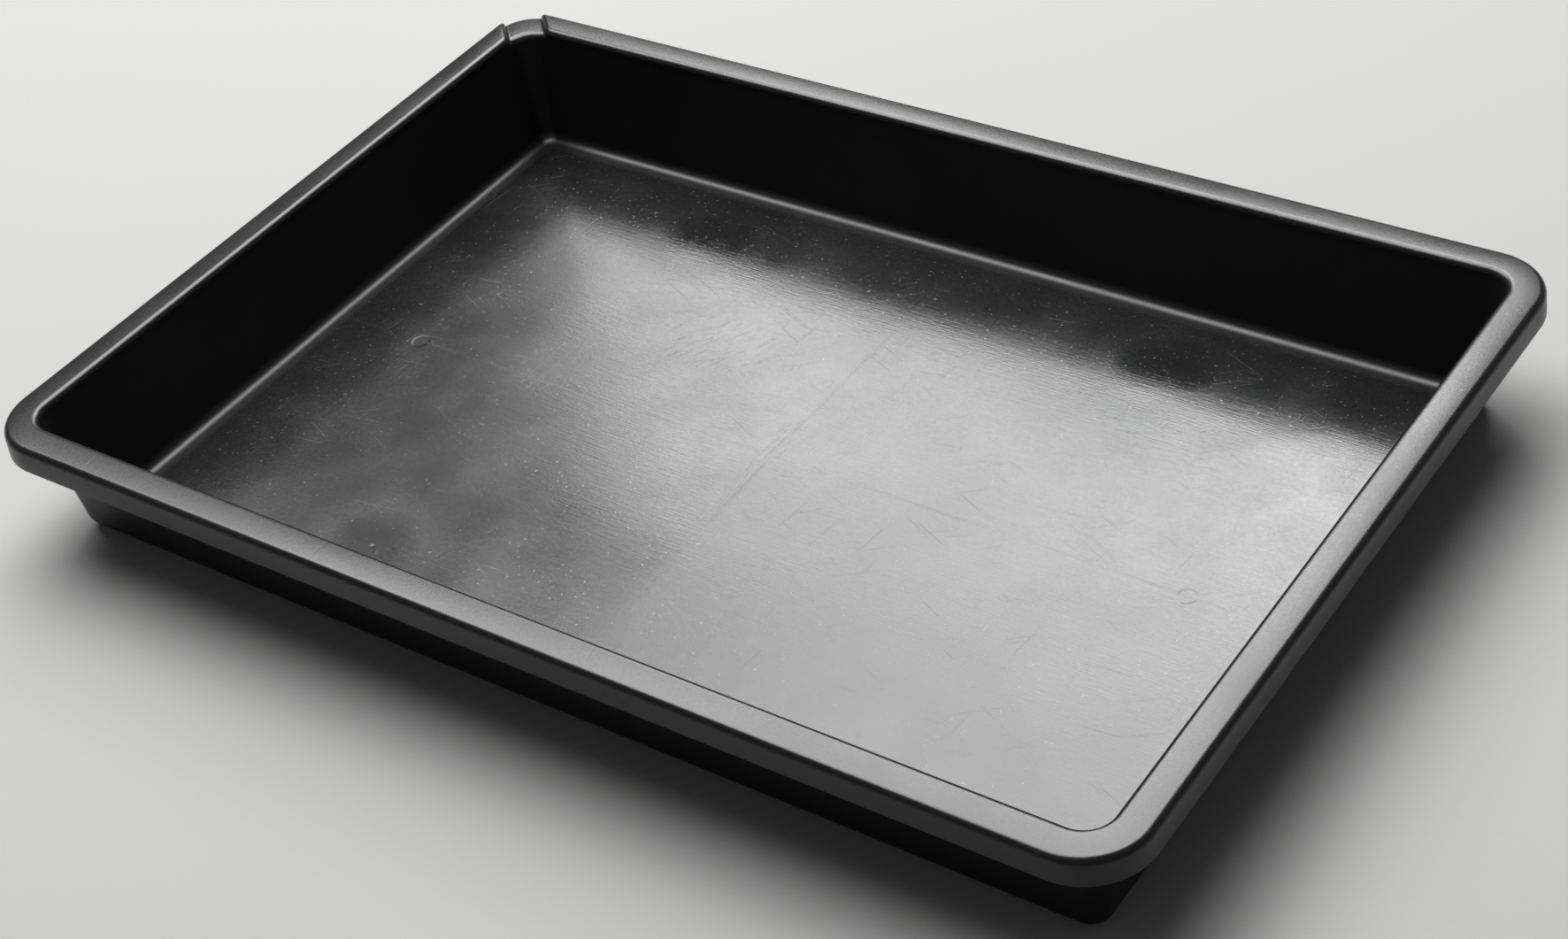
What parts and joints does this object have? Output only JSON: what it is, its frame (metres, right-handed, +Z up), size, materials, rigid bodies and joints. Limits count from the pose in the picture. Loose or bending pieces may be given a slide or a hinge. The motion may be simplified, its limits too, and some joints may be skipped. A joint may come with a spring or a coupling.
{
  "type": "paint tray",
  "caption": "Flat-bottomed rectangular paint roller tray, moulded in one piece, with leaning walls, a flat rim with a turned-down skirt, and a pouring spout in one corner.",
  "frame": {"origin": "middle of the base, on the surface that the tray stands on", "axes": "+X along the long side, +Y along the short side, +Z up out of the open top. The spout is at the -X +Y corner."},
  "size_m": [0.6012, 0.4112, 0.0662],
  "materials": {
    "black_plastic": "satin"
  },
  "bodies": {
    "root": {"tray": "black_plastic"}
  },
  "joints": []
}
